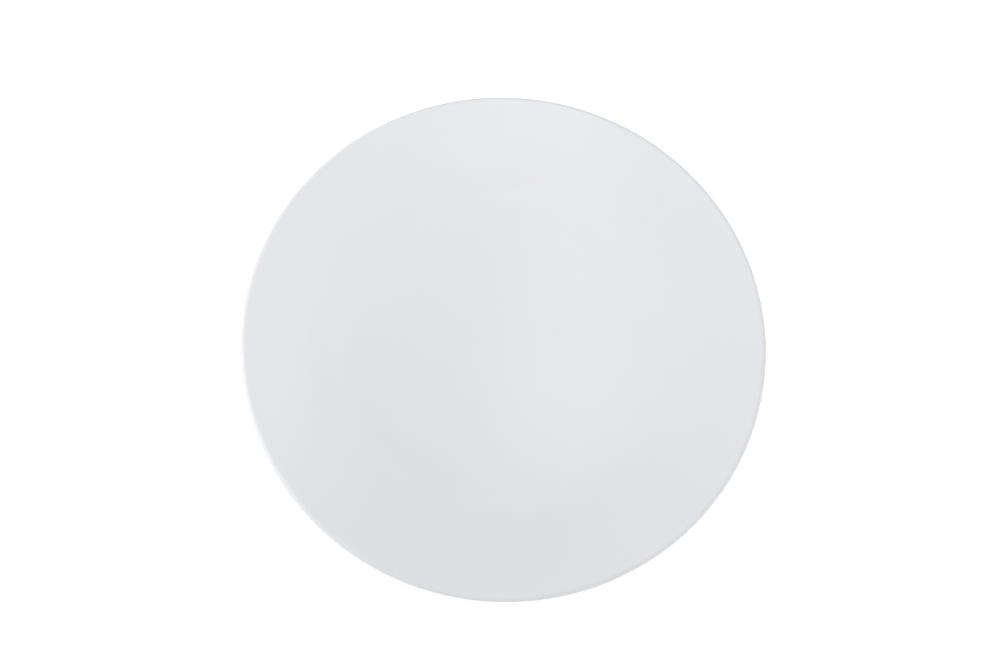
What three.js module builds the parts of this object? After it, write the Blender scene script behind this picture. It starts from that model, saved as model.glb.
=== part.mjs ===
// A flat porcelain dinner plate: a flat well, a straight flared rim with a full-round lip, and a low standing
// ring under the edge of the well. It is one fired clay body under a thin clear glaze. The standing ring is
// wiped bare before firing, so the glaze is two separate pieces: a coat that runs up the back of the rim, round
// the lip and over the face, and a disc inside the ring.
//
// Millimetres, +Z up. The origin is on the table, at the centre of the standing ring.
import * as THREE from "three";

// Rim, measured over the glaze
const PLATE_DIAMETER = 270;
const RIM_RISE = 13; // eating face to the top of the lip
const LIP_THICKNESS = 3.6; // the lip is a full round of this diameter

// Well, measured over the glaze
const WELL_DIAMETER = 168; // where the well's floor and the rim's slope would meet without their fillet
const WELL_FILLET = 48; // radius of the hollow curve from well to rim
const BASE_THICKNESS = 4.5; // eating face to the underside, across the well

// Standing ring, bare clay
const FOOT_DEPTH = 3; // table to the glazed underside inside the ring
const FOOT_WIDTH = 4; // across the ring where it leaves the underside
const FOOT_INSET = 1; // from the well's edge in to the ring's outer wall
const FOOT_DRAFT = 0.4; // how much each wall of the ring leans in on its way down
const FOOT_FILLET = 1; // hollow curve where a wall of the ring meets the underside
const FOOT_ROUND = 0.6; // rounding of the standing face's two edges

// Glaze
const GLAZE_THICKNESS = 0.3;
const BOND_LAYER = 0.03; // where glaze and clay react and fuse, left open between the two solids

// Facets
const SEGMENTS = 72; // round the plate
const WELL_STEPS = 5; // along the well's fillet
const LIP_STEPS = 7; // round the lip
const FOOT_STEPS = 3; // along each curve of the standing ring

const GLAZE_BUILD = GLAZE_THICKNESS + BOND_LAYER;

const glazeMaterial = new THREE.MeshStandardMaterial({ color: 0xe5e6e9, roughness: 0.15, metalness: 0 });
const bareClayMaterial = new THREE.MeshStandardMaterial({ color: 0xe2dfd8, roughness: 0.75, metalness: 0 });

/** A point of the section: distance from the axis, and height. */
const point = (radius, height) => new THREE.Vector2(radius, height);

/** The points of a circular arc, both ends included, from one angle to another. */
function arc(centre, radius, fromAngle, toAngle, steps) {
  return Array.from({ length: steps + 1 }, (_, i) => {
    const angle = fromAngle + ((toAngle - fromAngle) * i) / steps;
    return point(centre.x + radius * Math.cos(angle), centre.y + radius * Math.sin(angle));
  });
}

/**
 * The arc that rounds the corner between the line from before and the line on to after. It takes up at most half
 * of either line, so that the curve at the line's other end has its room too.
 */
function fillet(before, corner, after, radius, steps) {
  const back = before.clone().sub(corner);
  const ahead = after.clone().sub(corner);
  const room = Math.min(back.length(), ahead.length()) / 2;
  back.normalize();
  ahead.normalize();
  const halfAngle = Math.acos(back.dot(ahead)) / 2;
  const reach = Math.min(radius / Math.tan(halfAngle), room);
  const middle = back.clone().add(ahead).normalize();
  const centre = corner.clone().addScaledVector(middle, reach / Math.cos(halfAngle));
  const start = corner.clone().addScaledVector(back, reach).sub(centre).angle();
  const end = corner.clone().addScaledVector(ahead, reach).sub(centre).angle();
  const turn = Math.atan2(Math.sin(end - start), Math.cos(end - start));
  return arc(centre, reach * Math.tan(halfAngle), start, start + turn, steps);
}

/** The angle of the line from a point that just touches a circle, on its left (side +1) or right (side -1). */
function tangentAngle(from, centre, radius, side) {
  const toCentre = centre.clone().sub(from);
  return Math.atan2(toCentre.y, toCentre.x) + side * Math.asin(radius / toCentre.length());
}

/** A stretch of the section moved outwards, to its right, by a distance, with its facets kept parallel. */
function offset(stretch, distance) {
  const normals = stretch.slice(1).map((p, i) => {
    const along = p.clone().sub(stretch[i]).normalize();
    return point(along.y, -along.x);
  });
  return stretch.map((p, i) => {
    const before = normals[Math.max(i - 1, 0)];
    const after = normals[Math.min(i, normals.length - 1)];
    const miter = before.clone().add(after);
    return p.clone().addScaledVector(miter, (2 * distance) / miter.lengthSq());
  });
}

/**
 * The clay body's section as three stretches, from the middle of the underside round to the middle of the eating
 * face: what the disc inside the ring covers, the bare standing ring, and what the coat covers.
 */
function bodySection() {
  const undersideHeight = FOOT_DEPTH + GLAZE_BUILD;
  const faceHeight = FOOT_DEPTH + BASE_THICKNESS - GLAZE_BUILD;
  const lipHeight = FOOT_DEPTH + BASE_THICKNESS + RIM_RISE;

  const outerWallRadius = WELL_DIAMETER / 2 - FOOT_INSET;
  const innerWallRadius = outerWallRadius - FOOT_WIDTH;
  const underMiddle = point(0, undersideHeight);
  const innerTop = point(innerWallRadius, undersideHeight);
  const innerFoot = point(innerWallRadius + FOOT_DRAFT, 0);
  const outerFoot = point(outerWallRadius - FOOT_DRAFT, 0);
  const outerTop = point(outerWallRadius, undersideHeight);

  const lipRadius = LIP_THICKNESS / 2 - GLAZE_BUILD;
  const lipCentre = point((PLATE_DIAMETER - LIP_THICKNESS) / 2, lipHeight - LIP_THICKNESS / 2);
  const wellEdge = point(WELL_DIAMETER / 2, faceHeight);
  const faceMiddle = point(0, faceHeight);
  const backAngle = tangentAngle(outerTop, lipCentre, lipRadius, -1);
  const faceAngle = tangentAngle(wellEdge, lipCentre, lipRadius, 1);
  const lip = arc(lipCentre, lipRadius, backAngle - Math.PI / 2, faceAngle + Math.PI / 2, LIP_STEPS);

  return {
    disc: [underMiddle, ...fillet(underMiddle, innerTop, innerFoot, FOOT_FILLET, FOOT_STEPS)],
    bare: [
      ...fillet(innerTop, innerFoot, outerFoot, FOOT_ROUND, FOOT_STEPS),
      ...fillet(innerFoot, outerFoot, outerTop, FOOT_ROUND, FOOT_STEPS),
    ],
    coated: [
      ...fillet(outerFoot, outerTop, lip[0], FOOT_FILLET, FOOT_STEPS),
      ...lip,
      ...fillet(lip[LIP_STEPS], wellEdge, faceMiddle, WELL_FILLET, WELL_STEPS),
      faceMiddle,
    ],
  };
}

/**
 * The section of a glaze layer over a stretch of clay, from the axis out to the layer's edge and back to the axis.
 * One end of the stretch is on the axis. At the other the layer is bevelled off, down to the bare clay.
 */
function glazeSection(stretch) {
  const inner = offset(stretch, BOND_LAYER).reverse();
  const outer = offset(stretch, GLAZE_BUILD);
  return stretch[0].x === 0 ? [...outer.slice(0, -1), ...inner] : [...inner, ...outer.slice(1)];
}

/** A named solid of revolution about Z, from a section that starts and ends on the axis. */
function revolve(name, section, material) {
  const geometry = new THREE.LatheGeometry(section, SEGMENTS).rotateX(Math.PI / 2);
  const mesh = new THREE.Mesh(geometry, material);
  mesh.name = name;
  return mesh;
}

const clay = bodySection();
const plate = new THREE.Group();
plate.name = "flat_plate";
plate.add(revolve("porcelain_body", [...clay.disc, ...clay.bare, ...clay.coated], bareClayMaterial));
plate.add(revolve("glaze_coat", glazeSection(clay.coated), glazeMaterial));
plate.add(revolve("base_glaze", glazeSection(clay.disc), glazeMaterial));

export default plate;
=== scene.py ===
"""A flat porcelain dinner plate, dressed and lit as a product picture.

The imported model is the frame. It holds the plate's clay body, the coat of glaze over its face, lip and back,
and the disc of glaze inside its standing ring. Each of them is replaced here by a fine surface of revolution
with what a fired plate has and a turned solid lacks: a rim that dried a little out of true, a wavy line
where the glaze was wiped off the standing ring, and a soft bead along that line.

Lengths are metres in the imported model's frame: +Z is up, and the origin is on the table under the plate's
middle.
"""

from __future__ import annotations

import logging
import math
from dataclasses import dataclass
from enum import Enum

import bpy
import numpy as np
from mathutils import Matrix, Vector

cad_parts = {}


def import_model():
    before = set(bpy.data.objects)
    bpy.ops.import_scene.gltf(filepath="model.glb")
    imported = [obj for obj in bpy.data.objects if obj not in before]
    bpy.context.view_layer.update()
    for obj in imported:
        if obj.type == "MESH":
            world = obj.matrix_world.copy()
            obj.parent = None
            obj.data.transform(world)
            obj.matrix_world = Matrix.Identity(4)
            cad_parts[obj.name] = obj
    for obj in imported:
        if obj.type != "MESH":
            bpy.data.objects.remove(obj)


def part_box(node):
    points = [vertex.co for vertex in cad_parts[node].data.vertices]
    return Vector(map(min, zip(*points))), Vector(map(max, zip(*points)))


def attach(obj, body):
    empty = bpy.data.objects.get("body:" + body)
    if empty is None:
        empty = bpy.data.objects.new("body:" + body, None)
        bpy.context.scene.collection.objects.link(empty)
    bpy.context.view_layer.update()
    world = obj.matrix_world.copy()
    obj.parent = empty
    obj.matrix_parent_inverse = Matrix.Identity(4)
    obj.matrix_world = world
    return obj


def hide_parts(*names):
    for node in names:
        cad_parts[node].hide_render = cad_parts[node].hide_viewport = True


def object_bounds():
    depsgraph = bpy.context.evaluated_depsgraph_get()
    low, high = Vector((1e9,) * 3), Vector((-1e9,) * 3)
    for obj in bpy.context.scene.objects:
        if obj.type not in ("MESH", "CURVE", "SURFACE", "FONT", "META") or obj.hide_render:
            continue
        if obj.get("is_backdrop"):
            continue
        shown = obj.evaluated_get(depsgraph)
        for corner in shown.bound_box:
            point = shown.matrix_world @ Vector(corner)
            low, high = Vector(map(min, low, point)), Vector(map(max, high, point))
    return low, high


LOG = logging.getLogger("flat_plate")
BODY = "root"

Point = tuple[float, float, float]
Colour = tuple[float, float, float]

PURE_WHITE: Colour = (1.0, 1.0, 1.0)
OPAQUE = 1.0
NOISE_MIDDLE = 0.5

# A Mix node has sockets of one name for each type of data, so its colour sockets go by their place.
MIX_COLOUR_A = 6
MIX_COLOUR_B = 7
MIX_COLOUR_RESULT = 2


class Node(Enum):
    """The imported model's nodes. One piece here stands for each."""

    CLAY_BODY = "porcelain_body"
    GLAZE_COAT = "glaze_coat"
    BASE_GLAZE = "base_glaze"


class Slot(Enum):
    """The record's material slots."""

    BARE_PORCELAIN = "bare_porcelain"
    WHITE_GLAZE = "white_glaze"


class Cover(Enum):
    """Which stretch of the clay a layer of glaze covers.

    Its value is the way along the section from the layer's edge to the axis.
    """

    FACE_AND_BACK = 1
    INSIDE_RING = -1


class Band(Enum):
    """The heights of an upright light's lower and upper edge."""

    LOW = (0.0, 0.35)
    HIGH = (0.35, 1.0)


def arc(centre: np.ndarray, radius: float, start: float, end: float, steps: int = 48) -> np.ndarray:
    """Points of a circular arc: centre plus radius times (cos, sin) of evenly spaced angles.

    Args:
        centre: The circle's centre, as distance from the axis and height.
        radius: The circle's radius.
        start: The first point's angle, in radians.
        end: The last point's angle, in radians.
        steps: How many steps the arc is cut into.

    Returns:
        The points, one a row, both ends included.
    """
    angle = np.linspace(start, end, steps + 1)
    return centre + radius * np.stack([np.cos(angle), np.sin(angle)], axis=1)


def fillet(before: np.ndarray, corner: np.ndarray, after: np.ndarray, radius: float) -> np.ndarray:
    """The arc that rounds a corner: its centre is on the corner's bisector, radius from both lines.

    Args:
        before: A point of the line that leads to the corner.
        corner: The corner.
        after: A point of the line that leads on from it.
        radius: The arc's radius.

    Returns:
        The arc's points, from the first line to the second.
    """
    back = (before - corner) / np.linalg.norm(before - corner)
    ahead = (after - corner) / np.linalg.norm(after - corner)
    half_angle = math.acos(float(back @ ahead)) / 2
    middle = (back + ahead) / np.linalg.norm(back + ahead)
    centre = corner + middle * radius / math.sin(half_angle)
    reach = radius / math.tan(half_angle)
    from_centre = np.stack([corner + back * reach - centre, corner + ahead * reach - centre])
    start, end = np.unwrap(np.arctan2(from_centre[:, 1], from_centre[:, 0]))
    return arc(centre, radius, float(start), float(end))


def slope_blend(corner: np.ndarray, slope: float, reach: float, steps: int = 96) -> np.ndarray:
    """The soft bend from a slope down to a level floor.

    Its gradient falls as 3t^2 - 2t^3 from the slope's at t = 1 to nothing at t = 0, so its height over the
    floor is the slope's gradient times twice the reach times (t^3 - t^4 / 2).

    Args:
        corner: Where the slope's line meets the floor's.
        slope: The slope's angle, in radians.
        reach: How far the bend reaches to either side of the corner.
        steps: How many steps the bend is cut into.

    Returns:
        The bend's points, from the slope down to the floor.
    """
    share = np.linspace(1.0, 0.0, steps + 1)
    rise = math.tan(slope) * 2 * reach * (share**3 - share**4 / 2)
    return corner + np.stack([reach * (2 * share - 1), rise], axis=1)


def tangent_angle(start: np.ndarray, centre: np.ndarray, radius: float, side: int) -> float:
    """The angle of the line from a point that touches a circle.

    It is the angle of the line to the circle's centre, plus or minus the arcsine of radius over distance.

    Args:
        start: The point.
        centre: The circle's centre.
        radius: The circle's radius.
        side: 1 to touch the circle on its left as seen from the point, -1 to touch it on its right.

    Returns:
        The line's angle, in radians.
    """
    to_centre = centre - start
    spread = math.asin(radius / float(np.linalg.norm(to_centre)))
    return math.atan2(to_centre[1], to_centre[0]) + side * spread


@dataclass(frozen=True)
class SectionLine:
    """A curve in the half plane of the plate's section, read by the distance along it."""

    along: np.ndarray
    points: np.ndarray
    normals: np.ndarray
    turning: np.ndarray

    @classmethod
    def through(cls, points: np.ndarray, step: float = 2e-5, spread_length: float = 4e-4) -> SectionLine:
        """Resamples a polyline at even steps and takes its normals, to the right of the way along it.

        Args:
            points: The polyline's points, as distance from the axis and height.
            step: The distance between samples.
            spread_length: The length over which the line's turning is averaged.

        Returns:
            The line, with its unit normals and how sharply it turns at each sample, in radians a metre.
        """
        corners = np.concatenate([[0.0], np.cumsum(np.linalg.norm(np.diff(points, axis=0), axis=1))])
        along = np.linspace(0.0, corners[-1], int(corners[-1] / step) + 1)
        even = np.stack([np.interp(along, corners, points[:, axis]) for axis in (0, 1)], axis=1)
        way = np.gradient(even, along, axis=0)
        way /= np.linalg.norm(way, axis=1, keepdims=True)
        normals = np.stack([way[:, 1], -way[:, 0]], axis=1)
        heading = np.unwrap(np.arctan2(way[:, 1], way[:, 0]))
        spread = np.ones(int(spread_length / step))
        turning = np.convolve(np.abs(np.gradient(heading, along)), spread / len(spread), mode="same")
        return cls(along, even, normals, turning)

    @property
    def length(self) -> float:
        """The distance from the line's first point to its last."""
        return float(self.along[-1])

    def lifted(self, distance: np.ndarray, lift: np.ndarray | float) -> tuple[np.ndarray, np.ndarray]:
        """The line's points moved out along its normals: point(distance) + lift * normal(distance).

        Args:
            distance: Where on the line, for each point of a grid.
            lift: How far out from the line, for each point or for all.

        Returns:
            The grid's distances from the axis, and its heights.
        """
        radius = np.interp(distance, self.along, self.points[:, 0])
        height = np.interp(distance, self.along, self.points[:, 1])
        out = np.interp(distance, self.along, self.normals[:, 0])
        up = np.interp(distance, self.along, self.normals[:, 1])
        return radius + lift * out, height + lift * up

    def rows(self, start: float, end: float, longest: float = 0.005, sag: float = 1.5e-6) -> np.ndarray:
        """Places rows along a stretch, close together where it turns.

        A straight has a row to each longest step. A bend has more, so that the straight between two rows
        sags from it by no more than the given distance: a step squared times the turning is eight times
        the sag.

        Args:
            start: Where the stretch begins.
            end: Where it ends.
            longest: The longest step between rows on a straight.
            sag: The largest distance between a bend and the straight between two of its rows.

        Returns:
            The rows' places on the line, from start to end.
        """
        inside = (self.along >= min(start, end)) & (self.along <= max(start, end))
        along = self.along[inside]
        cost = 1.0 / longest + np.sqrt(self.turning[inside] / (8.0 * sag))
        total = np.concatenate([[0.0], np.cumsum((cost[1:] + cost[:-1]) / 2 * np.diff(along))])
        places = np.interp(np.linspace(0.0, total[-1], math.ceil(total[-1]) + 1), total, along)
        return places if end >= start else places[::-1]


@dataclass(frozen=True)
class PlateSizes:
    """The plate's sizes over its glaze, and the clay's section that follows from them."""

    radius: float
    height: float
    underside_height: float
    lip_thickness: float = 0.0036
    well_radius: float = 0.084
    well_blend: float = 0.008
    base_thickness: float = 0.0045
    foot_width: float = 0.004
    foot_inset: float = 0.001
    foot_draft: float = 0.0004
    foot_fillet: float = 0.001
    foot_round: float = 0.0006
    glaze_thickness: float = 0.0003
    bond_layer: float = 0.00003

    @classmethod
    def from_frame(cls) -> PlateSizes:
        """Takes the outline, the height and the underside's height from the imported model.

        Returns:
            The sizes, with the rest as they are named above.
        """
        coat_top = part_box(Node.GLAZE_COAT.value)[1]
        base_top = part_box(Node.BASE_GLAZE.value)[1]
        return cls(coat_top.x, coat_top.z, base_top.z - cls.glaze_thickness)

    @property
    def glaze_build(self) -> float:
        """How far the glaze's surface stands off the clay's."""
        return self.glaze_thickness + self.bond_layer

    def clay_section(self) -> ClaySection:
        """The clay's section, from the middle of the underside round the lip to the middle of the face.

        Straight lines join the standing ring's fillets, the lip's full round and the blend from rim to well.
        The lines of the rim's back and face are the two tangents to the lip's circle.

        Returns:
            The section, with the places on it where the glaze ends on either side of the standing ring.
        """
        under = self.underside_height + self.glaze_build
        face = self.underside_height + self.base_thickness - self.glaze_build
        outer_wall = self.well_radius - self.foot_inset
        inner_wall = outer_wall - self.foot_width
        under_middle = np.array([0.0, under])
        inner_top = np.array([inner_wall, under])
        inner_foot = np.array([inner_wall + self.foot_draft, 0.0])
        outer_foot = np.array([outer_wall - self.foot_draft, 0.0])
        outer_top = np.array([outer_wall, under])

        lip_radius = self.lip_thickness / 2 - self.glaze_build
        lip_centre = np.array([self.radius, self.height]) - self.lip_thickness / 2
        well_edge = np.array([self.well_radius, face])
        face_middle = np.array([0.0, face])
        back_angle = tangent_angle(outer_top, lip_centre, lip_radius, -1)
        face_angle = tangent_angle(well_edge, lip_centre, lip_radius, 1)
        lip = arc(lip_centre, lip_radius, back_angle - math.pi / 2, face_angle + math.pi / 2)

        covered_inside = [
            under_middle[None],
            fillet(under_middle, inner_top, inner_foot, self.foot_fillet),
        ]
        bare = [
            fillet(inner_top, inner_foot, outer_foot, self.foot_round),
            fillet(inner_foot, outer_foot, outer_top, self.foot_round),
        ]
        covered_outside = [
            fillet(outer_foot, outer_top, lip[0], self.foot_fillet),
            lip,
            slope_blend(well_edge, face_angle, self.well_blend),
            face_middle[None],
        ]
        line = SectionLine.through(np.concatenate(covered_inside + bare + covered_outside))
        inside = SectionLine.through(np.concatenate(covered_inside)).length
        outside = SectionLine.through(np.concatenate(covered_outside)).length
        return ClaySection(line, inside, line.length - outside)


@dataclass(frozen=True)
class ClaySection:
    """The clay's section, and where the glaze ends on it, inside and outside the standing ring."""

    line: SectionLine
    inner_edge: float
    outer_edge: float


@dataclass(frozen=True)
class KilnWarp:
    """How far the rim has moved out of true in the kiln. The well and the standing ring stay flat."""

    start_radius: float
    end_radius: float
    saddle: float = 0.00011
    saddle_turn: float = 0.6
    three_lobe: float = 0.00005
    three_lobe_turn: float = 1.9

    def lift(self, radius: np.ndarray, angle: np.ndarray) -> np.ndarray:
        """The rim's rise.

        It is the square of the share of the way up the rim, times the sum of a two-lobed and a
        three-lobed wave.

        Args:
            radius: Distances from the axis, on a grid of rows by turns.
            angle: The turns' angles.

        Returns:
            The rise at each point of the grid.
        """
        share = np.clip((radius - self.start_radius) / (self.end_radius - self.start_radius), 0.0, 1.0)
        saddle = self.saddle * np.cos(2 * (angle - self.saddle_turn))
        three_lobe = self.three_lobe * np.cos(3 * (angle - self.three_lobe_turn))
        return share**2 * (saddle + three_lobe)


@dataclass(frozen=True)
class EdgeWave:
    """One sine wave of the wiped edge: its share of the waver, its waves to a turn and its phase."""

    share: float
    count: int
    phase: float


@dataclass(frozen=True)
class WipedLine:
    """The edge that a wet sponge leaves when it wipes the glaze off the standing ring."""

    waves: tuple[EdgeWave, ...] = (EdgeWave(0.5, 3, 0.4), EdgeWave(0.3, 8, 2.1), EdgeWave(0.2, 19, 4.0))
    waver: float = 0.00022
    fade_length: float = 0.003
    nose_length: float = 0.0006
    nose_margin: float = 1.2
    nose_rows: int = 9
    bead_height: float = 0.00007
    bead_length: float = 0.0007

    def wave(self, angle: np.ndarray) -> np.ndarray:
        """How far the edge strays at each angle: sine waves that close on themselves after a turn."""
        return self.waver * sum(part.share * np.sin(part.count * angle + part.phase) for part in self.waves)

    def fade(self, distance: np.ndarray) -> np.ndarray:
        """The share of the wave that is left at a distance from the edge: the square of a falling ramp."""
        return np.clip(1.0 - distance / self.fade_length, 0.0, 1.0) ** 2

    def thickness(self, distance: np.ndarray, full: float) -> np.ndarray:
        """The glaze's thickness at a distance from its edge.

        It is a quarter of an ellipse up to the full thickness, with a low bell-shaped bead just behind it.

        Args:
            distance: Distances from the edge.
            full: The thickness away from the edge.

        Returns:
            The thickness at each distance.
        """
        share = np.clip(distance / self.nose_length, 0.0, 1.0)
        nose = np.sqrt(1.0 - (1.0 - share) ** 2)
        bead = np.exp(-(((distance - self.nose_length) / self.bead_length) ** 2))
        return nose * (full + self.bead_height * bead)

    @property
    def clear_length(self) -> float:
        """The distance from the edge past which the clay section's own rows follow the nose's."""
        return self.nose_margin * self.nose_length

    def rows(self) -> np.ndarray:
        """Distances from the edge at which the nose has rows: even turns of the quarter ellipse."""
        return self.nose_length * (1.0 - np.cos(np.linspace(0.0, math.pi / 2, self.nose_rows)))


def revolved_mesh(name: str, radius: np.ndarray, height: np.ndarray, angle: np.ndarray) -> bpy.types.Mesh:
    """A closed mesh of revolution: x = radius cos(angle), y = radius sin(angle), z = height.

    The first and last rows lie on the axis and become one vertex each, and the last turn joins the first.

    Args:
        name: The mesh's name.
        radius: Distances from the axis, a row for each place along the section and a column for each turn.
        height: Heights, on the same grid.
        angle: The turns' angles.

    Returns:
        The mesh, with its faces outwards and smooth shading.
    """
    turns = len(angle)
    around = np.stack([radius * np.cos(angle), radius * np.sin(angle), height], axis=-1)[1:-1]
    poles = np.array([[0.0, 0.0, height[0].mean()], [0.0, 0.0, height[-1].mean()]])
    here = np.arange(around.shape[0] * turns).reshape(-1, turns)
    beside = np.roll(here, -1, axis=1)
    quads = np.stack([here[:-1], beside[:-1], beside[1:], here[1:]], axis=-1).reshape(-1, 4)
    first = np.full(turns, here.size)
    first_fan = np.stack([first, beside[0], here[0]], axis=1)
    last_fan = np.stack([first + 1, here[-1], beside[-1]], axis=1)
    faces = quads.tolist() + first_fan.tolist() + last_fan.tolist()
    mesh = bpy.data.meshes.new(name)
    mesh.from_pydata(np.concatenate([around.reshape(-1, 3), poles]), [], faces)
    mesh.shade_smooth()
    mesh.update()
    return mesh


@dataclass
class Piece:
    """One piece of the plate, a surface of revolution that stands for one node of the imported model."""

    node: Node
    slot: Slot
    sizes: PlateSizes
    section: ClaySection
    warp: KilnWarp
    turns: int = 288

    @property
    def angle(self) -> np.ndarray:
        """The angles of the turns round the axis."""
        return np.arange(self.turns) * (2 * math.pi / self.turns)

    def surface(self) -> tuple[np.ndarray, np.ndarray]:
        """The piece's distances from the axis and its heights, on a grid of rows by turns."""
        raise NotImplementedError

    def build(self, material: bpy.types.Material) -> bpy.types.Object:
        """Makes the piece, dresses it and puts it in its node's place.

        Args:
            material: The piece's finish.

        Returns:
            The piece's object.
        """
        radius, height = self.surface()
        height = height + self.warp.lift(radius, self.angle)
        name = f"{self.node.value}_fired"
        piece = bpy.data.objects.new(name, revolved_mesh(name, radius, height, self.angle))
        bpy.context.scene.collection.objects.link(piece)
        piece.data.materials.append(material)
        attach(piece, BODY)
        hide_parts(self.node.value)
        return piece


@dataclass
class ClayBody(Piece):
    """The fired clay. Only the standing ring shows, between the two layers of glaze."""

    def surface(self) -> tuple[np.ndarray, np.ndarray]:
        """The section itself, at every turn.

        Returns:
            The clay's distances from the axis and its heights.
        """
        line = self.section.line
        place = line.rows(0.0, line.length)[:, None] + np.zeros(self.turns)
        return line.lifted(place, 0.0)


@dataclass
class GlazeLayer(Piece):
    """A layer of glaze over a stretch of the clay, closed where it ends on the standing ring."""

    cover: Cover = Cover.FACE_AND_BACK
    edge: WipedLine = WipedLine()

    def surface(self) -> tuple[np.ndarray, np.ndarray]:
        """The layer's outer and inner face, which meet along the wiped edge.

        A row's place is the edge's place plus its distance from the edge plus what is left there of the
        edge's wave. The inner face stands off the clay by the bond layer, and the outer one by the glaze's
        thickness more. The faces come in the order that turns the mesh outwards.

        Returns:
            The layer's distances from the axis and its heights.
        """
        line = self.section.line
        to_axis = self.cover.value
        if self.cover is Cover.FACE_AND_BACK:
            edge_place, axis_place = self.section.outer_edge, line.length
        else:
            edge_place, axis_place = self.section.inner_edge, 0.0
        away = np.abs(line.rows(edge_place, axis_place) - edge_place)
        away = np.concatenate([self.edge.rows(), away[away > self.edge.clear_length]])[:, None]
        away[-1] = abs(axis_place - edge_place)
        place = edge_place + to_axis * away + self.edge.fade(away) * self.edge.wave(self.angle)
        thickness = self.edge.thickness(away, self.sizes.glaze_thickness)
        inner = line.lifted(place, self.sizes.bond_layer)
        outer = line.lifted(place, self.sizes.bond_layer + thickness)
        first, second = (inner, outer) if self.cover is Cover.FACE_AND_BACK else (outer, inner)
        radius, height = (np.concatenate([a[::-1], b[1:]]) for a, b in zip(first, second))
        return radius, height


class Socket(Enum):
    """The types of the node groups' sockets."""

    VECTOR = "NodeSocketVector"
    VALUE = "NodeSocketFloat"
    COLOUR = "NodeSocketColor"


def new_group(name: str, inputs: dict[str, Socket], outputs: dict[str, Socket]) -> bpy.types.NodeTree:
    """Makes an empty shader node group with named sockets.

    Args:
        name: The group's name.
        inputs: Its inputs' names and types.
        outputs: Its outputs' names and types.

    Returns:
        The group.
    """
    group = bpy.data.node_groups.new(name, "ShaderNodeTree")
    for way, sockets in (("INPUT", inputs), ("OUTPUT", outputs)):
        for label, kind in sockets.items():
            group.interface.new_socket(name=label, in_out=way, socket_type=kind.value)
    return group


def set_inputs(node: bpy.types.Node, values: dict[str, object]) -> None:
    """Sets those of a node's inputs that are named, with spaces written as underscores.

    Args:
        node: The node.
        values: Values for its inputs.
    """
    for name, value in values.items():
        node.inputs[name.replace("_", " ")].default_value = value


def add_node(tree: bpy.types.NodeTree, kind: str, **values: object) -> bpy.types.Node:
    """Adds a node and sets its inputs.

    Args:
        tree: The tree that gets the node.
        kind: The node's type.
        values: Values for its inputs, with spaces in their names written as underscores.

    Returns:
        The node.
    """
    node = tree.nodes.new(kind)
    set_inputs(node, values)
    return node


def add_group(tree: bpy.types.NodeTree, group: bpy.types.NodeTree, **values: object) -> bpy.types.Node:
    """Places a node group in a tree and sets its inputs.

    Args:
        tree: The tree that gets the group.
        group: The group.
        values: Values for its inputs, with spaces in their names written as underscores.

    Returns:
        The group's node.
    """
    node = tree.nodes.new("ShaderNodeGroup")
    node.node_tree = group
    set_inputs(node, values)
    return node


def mix_shaders(
    tree: bpy.types.NodeTree,
    factor: bpy.types.NodeSocket,
    first: bpy.types.Node,
    second: bpy.types.Node,
) -> bpy.types.Node:
    """Adds a Mix Shader node between two shaders.

    Args:
        tree: The tree that gets the node.
        factor: What blends the two, from 0 for the first to 1 for the second.
        first: The node of the first shader.
        second: The node of the second shader.

    Returns:
        The node.
    """
    node = tree.nodes.new("ShaderNodeMixShader")
    for place, source in zip(node.inputs, (factor, first.outputs[0], second.outputs[0])):
        tree.links.new(source, place)
    return node


def maths(tree: bpy.types.NodeTree, operation: str, first: object, second: object) -> bpy.types.NodeSocket:
    """Adds a Math node. Each operand is a number or the output of another node.

    Args:
        tree: The tree that gets the node.
        operation: The node's operation, such as "MULTIPLY".
        first: The first operand.
        second: The second operand.

    Returns:
        The node's output.
    """
    node = tree.nodes.new("ShaderNodeMath")
    node.operation = operation
    for place, operand in zip(node.inputs, (first, second)):
        if isinstance(operand, bpy.types.NodeSocket):
            tree.links.new(operand, place)
        else:
            place.default_value = operand
    return node.outputs[0]


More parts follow.
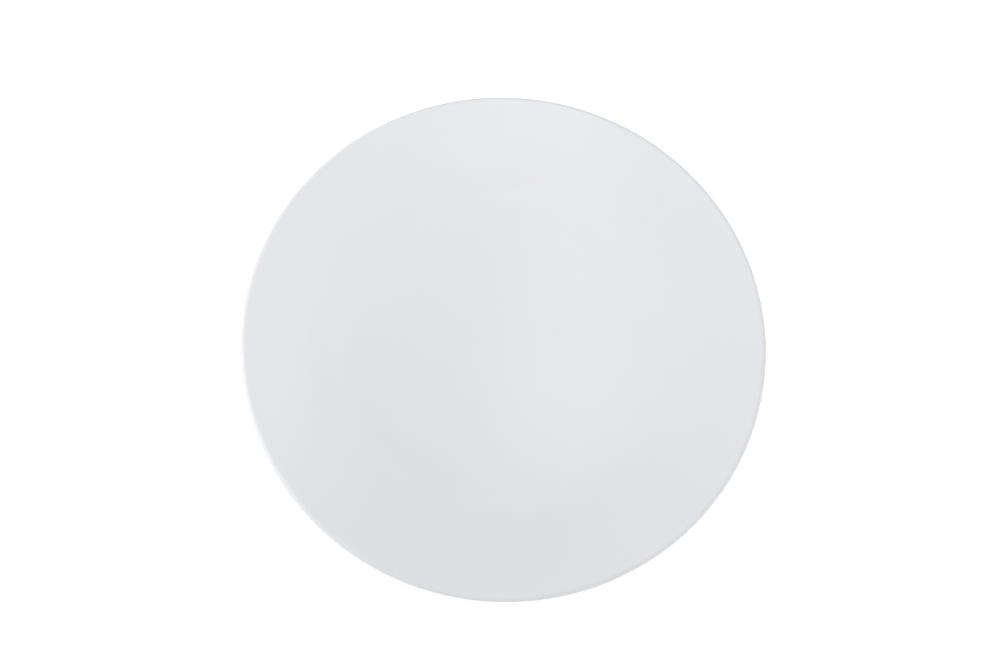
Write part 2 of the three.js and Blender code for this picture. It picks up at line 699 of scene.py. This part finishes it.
class SharedEffects:
    """The node groups that both finishes use, each made once."""

    def __init__(self) -> None:
        """Makes the groups."""
        self.mottle = self._mottle()
        self.skin = self._skin()

    @staticmethod
    def _mottle() -> bpy.types.NodeTree:
        """Clouding of a fired surface: broad noise with finer noise over it blends one colour into another.

        Returns:
            The group, with the blend's colour and its share as outputs.
        """
        inputs = {
            "Vector": Socket.VECTOR,
            "Broad scale": Socket.VALUE,
            "Fine scale": Socket.VALUE,
            "Fine share": Socket.VALUE,
            "Pale": Socket.COLOUR,
            "Deep": Socket.COLOUR,
        }
        group = new_group("kiln_mottle", inputs, {"Color": Socket.COLOUR, "Share": Socket.VALUE})
        enter = group.nodes.new("NodeGroupInput")
        leave = group.nodes.new("NodeGroupOutput")
        broad = add_node(group, "ShaderNodeTexNoise", Detail=3.0, Roughness=0.5)
        fine = add_node(group, "ShaderNodeTexNoise", Detail=2.0, Roughness=0.6)
        share = add_node(group, "ShaderNodeMix")
        blend = group.nodes.new("ShaderNodeMix")
        blend.data_type = "RGBA"
        link = group.links.new
        for noise, scale in ((broad, "Broad scale"), (fine, "Fine scale")):
            link(enter.outputs["Vector"], noise.inputs["Vector"])
            link(enter.outputs[scale], noise.inputs["Scale"])
        link(enter.outputs["Fine share"], share.inputs["Factor"])
        link(broad.outputs["Fac"], share.inputs["A"])
        link(fine.outputs["Fac"], share.inputs["B"])
        link(share.outputs["Result"], blend.inputs["Factor"])
        link(enter.outputs["Deep"], blend.inputs[MIX_COLOUR_A])
        link(enter.outputs["Pale"], blend.inputs[MIX_COLOUR_B])
        link(blend.outputs[MIX_COLOUR_RESULT], leave.inputs["Color"])
        link(share.outputs["Result"], leave.inputs["Share"])
        return group

    @staticmethod
    def _skin() -> bpy.types.NodeTree:
        """Relief of a fired surface: a slow ripple plus a fine grain.

        Each of them is noise, less its middle value, times a height.

        Returns:
            The group, with the relief in metres as its output.
        """
        inputs = {
            "Vector": Socket.VECTOR,
            "Ripple scale": Socket.VALUE,
            "Ripple height": Socket.VALUE,
            "Grain scale": Socket.VALUE,
            "Grain height": Socket.VALUE,
        }
        group = new_group("fired_skin", inputs, {"Height": Socket.VALUE})
        enter = group.nodes.new("NodeGroupInput")
        leave = group.nodes.new("NodeGroupOutput")
        reliefs = []
        for part, detail in (("Ripple", 1.0), ("Grain", 2.0)):
            noise = add_node(group, "ShaderNodeTexNoise", Detail=detail)
            group.links.new(enter.outputs["Vector"], noise.inputs["Vector"])
            group.links.new(enter.outputs[f"{part} scale"], noise.inputs["Scale"])
            centred = maths(group, "SUBTRACT", noise.outputs["Fac"], NOISE_MIDDLE)
            reliefs.append(maths(group, "MULTIPLY", centred, enter.outputs[f"{part} height"]))
        group.links.new(maths(group, "ADD", *reliefs), leave.inputs["Height"])
        return group


@dataclass(frozen=True)
class FiredFinish:
    """The finish of a fired surface: its clouded colour, its gloss and its relief."""

    name: str
    pale: Colour
    deep: Colour
    broad_scale: float
    fine_scale: float
    fine_share: float
    smoothest: float
    roughest: float
    refraction: float
    ripple_scale: float
    ripple_height: float
    grain_scale: float
    grain_height: float

    def material(self, effects: SharedEffects) -> bpy.types.Material:
        """Makes the material, with its patterns on object coordinates.

        Args:
            effects: The node groups that the finishes share.

        Returns:
            The material.
        """
        made = bpy.data.materials.new(self.name)
        made.use_nodes = True
        tree = made.node_tree
        tree.nodes.clear()
        link = tree.links.new
        place = tree.nodes.new("ShaderNodeTexCoord").outputs["Object"]
        shader = add_node(tree, "ShaderNodeBsdfPrincipled", IOR=self.refraction)
        link(shader.outputs["BSDF"], tree.nodes.new("ShaderNodeOutputMaterial").inputs["Surface"])

        mottle = add_group(
            tree,
            effects.mottle,
            Broad_scale=self.broad_scale,
            Fine_scale=self.fine_scale,
            Fine_share=self.fine_share,
            Pale=(*self.pale, OPAQUE),
            Deep=(*self.deep, OPAQUE),
        )
        link(place, mottle.inputs["Vector"])
        link(mottle.outputs["Color"], shader.inputs["Base Color"])

        gloss = add_node(tree, "ShaderNodeMapRange", To_Min=self.roughest, To_Max=self.smoothest)
        link(mottle.outputs["Share"], gloss.inputs["Value"])
        link(gloss.outputs["Result"], shader.inputs["Roughness"])

        skin = add_group(
            tree,
            effects.skin,
            Ripple_scale=self.ripple_scale,
            Ripple_height=self.ripple_height,
            Grain_scale=self.grain_scale,
            Grain_height=self.grain_height,
        )
        link(place, skin.inputs["Vector"])
        bump = add_node(tree, "ShaderNodeBump", Strength=1.0, Distance=1.0)
        link(skin.outputs["Height"], bump.inputs["Height"])
        link(bump.outputs["Normal"], shader.inputs["Normal"])
        return made


WHITE_GLAZE = FiredFinish(
    name="white_glaze",
    pale=(0.800, 0.805, 0.820),
    deep=(0.785, 0.792, 0.806),
    broad_scale=28.0,
    fine_scale=260.0,
    fine_share=0.25,
    smoothest=0.10,
    roughest=0.16,
    refraction=1.5,
    ripple_scale=150.0,
    ripple_height=4e-6,
    grain_scale=2500.0,
    grain_height=0.0,
)
BARE_PORCELAIN = FiredFinish(
    name="bare_porcelain",
    pale=(0.790, 0.775, 0.745),
    deep=(0.690, 0.670, 0.632),
    broad_scale=90.0,
    fine_scale=1800.0,
    fine_share=0.55,
    smoothest=0.68,
    roughest=0.86,
    refraction=1.45,
    ripple_scale=900.0,
    ripple_height=1e-5,
    grain_scale=4200.0,
    grain_height=2.2e-5,
)


@dataclass(frozen=True)
class Softbox:
    """A rectangular studio light with an even face, which the glaze mirrors or not."""

    name: str
    colour: Colour
    centre: Point
    aim: Point
    width: float
    depth: float
    radiance: float
    mirrored: bool = True

    @classmethod
    def overhead(
        cls,
        name: str,
        colour: Colour,
        over: tuple[float, float],
        width: float,
        depth: float,
        radiance: float,
        height: float = 1.2,
    ) -> Softbox:
        """A light that hangs level and faces straight down.

        Args:
            name: The light's name.
            colour: Its colour.
            over: The point of the table that it hangs over.
            width: Its size along X.
            depth: Its size along Y.
            radiance: Its brightness.
            height: How high it hangs.

        Returns:
            The light.
        """
        return cls(name, colour, (*over, height), (*over, 0.0), width, depth, radiance)

    @classmethod
    def upright(
        cls,
        name: str,
        colour: Colour,
        turn_deg: float,
        band: Band,
        radiance: float,
        mirrored: bool = False,
        width: float = 1.0,
        distance: float = 1.3,
    ) -> Softbox:
        """A light that stands upright and faces the plate's axis.

        Args:
            name: The light's name.
            colour: Its colour.
            turn_deg: Which way it stands from the plate, in degrees from +X towards +Y.
            band: The heights of its edges.
            radiance: Its brightness.
            mirrored: Whether the glaze mirrors it.
            width: Its width.
            distance: How far it stands from the plate's axis.

        Returns:
            The light.
        """
        turn = math.radians(turn_deg)
        bottom, top = band.value
        middle = (bottom + top) / 2
        centre = (distance * math.cos(turn), distance * math.sin(turn), middle)
        return cls(name, colour, centre, (0.0, 0.0, middle), width, top - bottom, radiance, mirrored)

    def build(self) -> None:
        """Hangs the light at its centre, facing its aim.

        Its power is pi times its area times its radiance.
        """
        light = bpy.data.lights.new(self.name, "AREA")
        light.shape = "RECTANGLE"
        light.size, light.size_y = self.width, self.depth
        light.energy = math.pi * self.width * self.depth * self.radiance
        light.color = self.colour
        lamp = bpy.data.objects.new(self.name, light)
        lamp.location = self.centre
        lamp.rotation_euler = (Vector(self.aim) - Vector(self.centre)).to_track_quat("-Z", "Y").to_euler()
        lamp.visible_glossy = self.mirrored
        bpy.context.scene.collection.objects.link(lamp)


@dataclass(frozen=True)
class Spotlight:
    """A small lamp before the plate that throws a soft pool of light onto it.

    The pool is given by its middle, as seen from above, and by its reach, which is its radius.
    """

    name: str
    colour: Colour
    pool: tuple[float, float]
    rise_deg: float
    reach: float
    power: float
    softness: float = 1.0
    pool_height: float = 0.008
    distance: float = 1.2
    lamp_radius: float = 0.02

    def build(self) -> None:
        """Sets the lamp up before the pool.

        It stands at its distance from the pool, raised by its angle, and its cone is as wide as the pool.
        """
        light = bpy.data.lights.new(self.name, "SPOT")
        light.energy = self.power
        light.color = self.colour
        light.shadow_soft_size = self.lamp_radius
        light.spot_size = 2 * math.atan(self.reach / self.distance)
        light.spot_blend = self.softness
        lamp = bpy.data.objects.new(self.name, light)
        rise = math.radians(self.rise_deg)
        way = Vector((0.0, -math.cos(rise), math.sin(rise)))
        lamp.location = Vector((*self.pool, self.pool_height)) + way * self.distance
        lamp.rotation_euler = (math.pi / 2 - rise, 0.0, 0.0)
        bpy.context.scene.collection.objects.link(lamp)


@dataclass(frozen=True)
class Studio:
    """The table, the surroundings and the lights."""

    lights: tuple[Softbox | Spotlight, ...]
    ambient: Colour = (0.15, 0.15, 0.15)
    table_opening: float = 0.0822
    table_reach: float = 6.0
    table_steps: int = 144
    table_shade: Colour = (0.72, 0.72, 0.72)
    table_seen_shade: Colour = (0.36, 0.36, 0.36)
    glow_near: float = 0.8
    glow_far: float = 1.1
    glow_start: float = 0.4
    glow_end: float = 1.6
    backdrop_white: float = 1.1

    def build(self) -> None:
        """Makes the table, the surroundings and the lights."""
        self._table()
        self._surroundings()
        for light in self.lights:
            light.build()

    def _table(self) -> None:
        """A flat round sheet at the plate's foot, open under it to let the underside be lit.

        Its two rings of vertices are (radius cos(angle), radius sin(angle), 0), joined by a quad to each
        step. The inner one lies under the standing ring.
        """
        angle = np.linspace(0.0, 2 * math.pi, self.table_steps, endpoint=False)
        ring = np.stack([np.cos(angle), np.sin(angle), np.zeros_like(angle)], axis=1)
        here = np.arange(self.table_steps)
        beside = np.roll(here, -1)
        quads = np.stack([here, here + self.table_steps, beside + self.table_steps, beside], axis=1)
        rings = np.concatenate([ring * self.table_opening, ring * self.table_reach])
        mesh = bpy.data.meshes.new("table")
        mesh.from_pydata(rings, [], quads.tolist())
        mesh.materials.append(self._table_finish())
        table = bpy.data.objects.new("table", mesh)
        bpy.context.scene.collection.objects.link(table)
        table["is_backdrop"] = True

    def _table_finish(self) -> bpy.types.Material:
        """A pale matt sheet, clear from below so that the underside can be seen.

        For the camera, its shadows are thinned by a white glow that grows with distance.

        Returns:
            The sheet's material.
        """
        made = bpy.data.materials.new("table_sheet")
        made.use_nodes = True
        tree = made.node_tree
        tree.nodes.clear()
        link = tree.links.new
        matt = add_node(tree, "ShaderNodeBsdfDiffuse", Color=(*self.table_shade, OPAQUE))
        shadows = add_node(tree, "ShaderNodeBsdfDiffuse", Color=(*self.table_seen_shade, OPAQUE))
        glow = tree.nodes.new("ShaderNodeEmission")
        clear = tree.nodes.new("ShaderNodeBsdfTransparent")
        thinned = tree.nodes.new("ShaderNodeAddShader")
        to_camera = tree.nodes.new("ShaderNodeLightPath").outputs["Is Camera Ray"]
        from_below = tree.nodes.new("ShaderNodeNewGeometry").outputs["Backfacing"]
        away = tree.nodes.new("ShaderNodeVectorMath")
        away.operation = "LENGTH"
        rise = add_node(
            tree,
            "ShaderNodeMapRange",
            From_Min=self.glow_start,
            From_Max=self.glow_end,
            To_Min=self.glow_near,
            To_Max=self.glow_far,
        )
        rise.interpolation_type = "SMOOTHSTEP"
        link(tree.nodes.new("ShaderNodeTexCoord").outputs["Object"], away.inputs[0])
        link(away.outputs["Value"], rise.inputs["Value"])
        link(rise.outputs["Result"], glow.inputs["Strength"])
        link(shadows.outputs["BSDF"], thinned.inputs[0])
        link(glow.outputs["Emission"], thinned.inputs[1])
        sheet = mix_shaders(tree, to_camera, matt, thinned)
        sided = mix_shaders(tree, from_below, sheet, clear)
        link(sided.outputs["Shader"], tree.nodes.new("ShaderNodeOutputMaterial").inputs["Surface"])
        return made

    def _surroundings(self) -> None:
        """An even pale room that lights the plate, and white where the camera sees it."""
        world = bpy.data.worlds.new("studio")
        bpy.context.scene.world = world
        world.use_nodes = True
        tree = world.node_tree
        tree.nodes.clear()
        room = add_node(tree, "ShaderNodeBackground", Color=(*self.ambient, OPAQUE))
        white = add_node(tree, "ShaderNodeBackground", Color=(*PURE_WHITE, OPAQUE))
        white.inputs["Strength"].default_value = self.backdrop_white
        to_camera = tree.nodes.new("ShaderNodeLightPath").outputs["Is Camera Ray"]
        seen = mix_shaders(tree, to_camera, room, white)
        tree.links.new(seen.outputs["Shader"], tree.nodes.new("ShaderNodeOutputWorld").inputs["Surface"])


@dataclass(frozen=True)
class PhotoCamera:
    """The photograph's view: from the front, steeply down, with the camera a little rolled."""

    aim_height: float
    lens_mm: float = 85.0
    distance: float = 1.2128
    elevation_deg: float = 73.28
    roll_deg: float = 6.61
    pan_right: float = -0.0023
    pan_up: float = 0.0038

    def build(self) -> None:
        """Makes the scene's camera.

        It stands back from the aim by its distance, is turned to face it, is rolled about its line of sight,
        and is then shifted sideways in its own plane without being turned.
        """
        elevation = math.radians(self.elevation_deg)
        back = Vector((0.0, -math.cos(elevation), math.sin(elevation)))
        facing = (-back).to_track_quat("-Z", "Y").to_matrix()
        facing = facing @ Matrix.Rotation(math.radians(self.roll_deg), 3, "Z")
        right, up = facing.col[0], facing.col[1]
        data = bpy.data.cameras.new("photo_camera")
        data.lens = self.lens_mm
        camera = bpy.data.objects.new("photo_camera", data)
        place = Vector((0.0, 0.0, self.aim_height)) + back * self.distance
        place += right * self.pan_right + up * self.pan_up
        camera.matrix_world = Matrix.Translation(place) @ facing.to_4x4()
        bpy.context.scene.collection.objects.link(camera)
        bpy.context.scene.camera = camera


WARM_LIGHT: Colour = (1.0, 0.99, 0.94)
PLAIN_LIGHT: Colour = (0.98, 0.97, 0.98)
COOL_LIGHT: Colour = (0.95, 0.955, 1.0)
BLUE_LIGHT: Colour = (0.64, 0.7, 1.0)

OVERHEAD_LIGHTS = (
    Softbox.overhead("overhead_middle", COOL_LIGHT, over=(0.0, 0.36), width=0.9, depth=0.96, radiance=1.16),
    Softbox.overhead("overhead_left", WARM_LIGHT, over=(-0.85, 0.6), width=0.8, depth=2.6, radiance=1.33),
    Softbox.overhead("overhead_right", WARM_LIGHT, over=(0.85, 0.6), width=0.8, depth=2.6, radiance=0.38),
    Softbox.overhead("overhead_back", BLUE_LIGHT, over=(0.0, 1.37), width=0.9, depth=1.06, radiance=1.17),
)
UPRIGHT_LIGHTS = (
    Softbox.upright("left_low", PLAIN_LIGHT, turn_deg=180, band=Band.LOW, radiance=3.4),
    Softbox.upright("front_left_low", PLAIN_LIGHT, turn_deg=225, band=Band.LOW, radiance=6.1),
    Softbox.upright("front_right_low", WARM_LIGHT, turn_deg=315, band=Band.LOW, radiance=1.0, mirrored=True),
    Softbox.upright("right_wall", WARM_LIGHT, turn_deg=0, band=Band.HIGH, radiance=3.85),
    Softbox.upright("left_wall", COOL_LIGHT, turn_deg=180, band=Band.HIGH, radiance=0.4, mirrored=True),
    Softbox.upright("back_left_wall", WARM_LIGHT, turn_deg=135, band=Band.HIGH, radiance=2.4),
    Softbox.upright("front_right_wall", COOL_LIGHT, turn_deg=315, band=Band.HIGH, radiance=2.3),
)
POOLS = (
    Spotlight("well_pool", BLUE_LIGHT, (0.042, 0.009), rise_deg=42, reach=0.054, power=5.6, softness=0.62),
    Spotlight("left_rim_pool", WARM_LIGHT, (-0.117, -0.010), rise_deg=28, reach=0.042, power=9.6),
    Spotlight("upper_left_pool", WARM_LIGHT, (-0.099, 0.061), rise_deg=45, reach=0.055, power=2.3),
    Spotlight("top_left_pool", WARM_LIGHT, (-0.057, 0.109), rise_deg=40, reach=0.05, power=2.2),
    Spotlight("top_pool", WARM_LIGHT, (0.004, 0.116), rise_deg=40, reach=0.055, power=3.2),
    Spotlight("bottom_pool", BLUE_LIGHT, (0.016, -0.075), rise_deg=40, reach=0.05, power=1.2),
    Spotlight("lower_left_pool", WARM_LIGHT, (-0.078, -0.05), rise_deg=40, reach=0.05, power=1.0),
)
UNDER_LIGHT = Softbox(
    "under_table",
    WARM_LIGHT,
    centre=(0.0, 0.0, -0.8),
    aim=(0.0, 0.0, 0.0),
    width=0.7,
    depth=0.7,
    radiance=3.0,
)
STUDIO = Studio(lights=(*OVERHEAD_LIGHTS, *UPRIGHT_LIGHTS, *POOLS, UNDER_LIGHT))


def build_plate() -> list[bpy.types.Object]:
    """Builds the plate's three pieces.

    Returns:
        The pieces' objects.
    """
    sizes = PlateSizes.from_frame()
    section = sizes.clay_section()
    warp = KilnWarp(sizes.well_radius, sizes.radius)
    effects = SharedEffects()
    bare = BARE_PORCELAIN.material(effects)
    glaze = WHITE_GLAZE.material(effects)
    shared = (sizes, section, warp)
    body = ClayBody(Node.CLAY_BODY, Slot.BARE_PORCELAIN, *shared)
    coat = GlazeLayer(Node.GLAZE_COAT, Slot.WHITE_GLAZE, *shared, cover=Cover.FACE_AND_BACK)
    disc = GlazeLayer(Node.BASE_GLAZE, Slot.WHITE_GLAZE, *shared, cover=Cover.INSIDE_RING)
    return [body.build(bare), coat.build(glaze), disc.build(glaze)]


def main() -> None:
    """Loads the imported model, builds the plate around it and sets up the picture."""
    logging.basicConfig(level=logging.INFO, format="%(name)s: %(message)s")
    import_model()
    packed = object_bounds()
    PhotoCamera(aim_height=packed[1].z).build()
    for piece in build_plate():
        LOG.info("%s: %d faces", piece.name, len(piece.data.polygons))
    STUDIO.build()
    bpy.context.scene.view_settings.view_transform = "Standard"


if __name__ == "__main__":
    main()
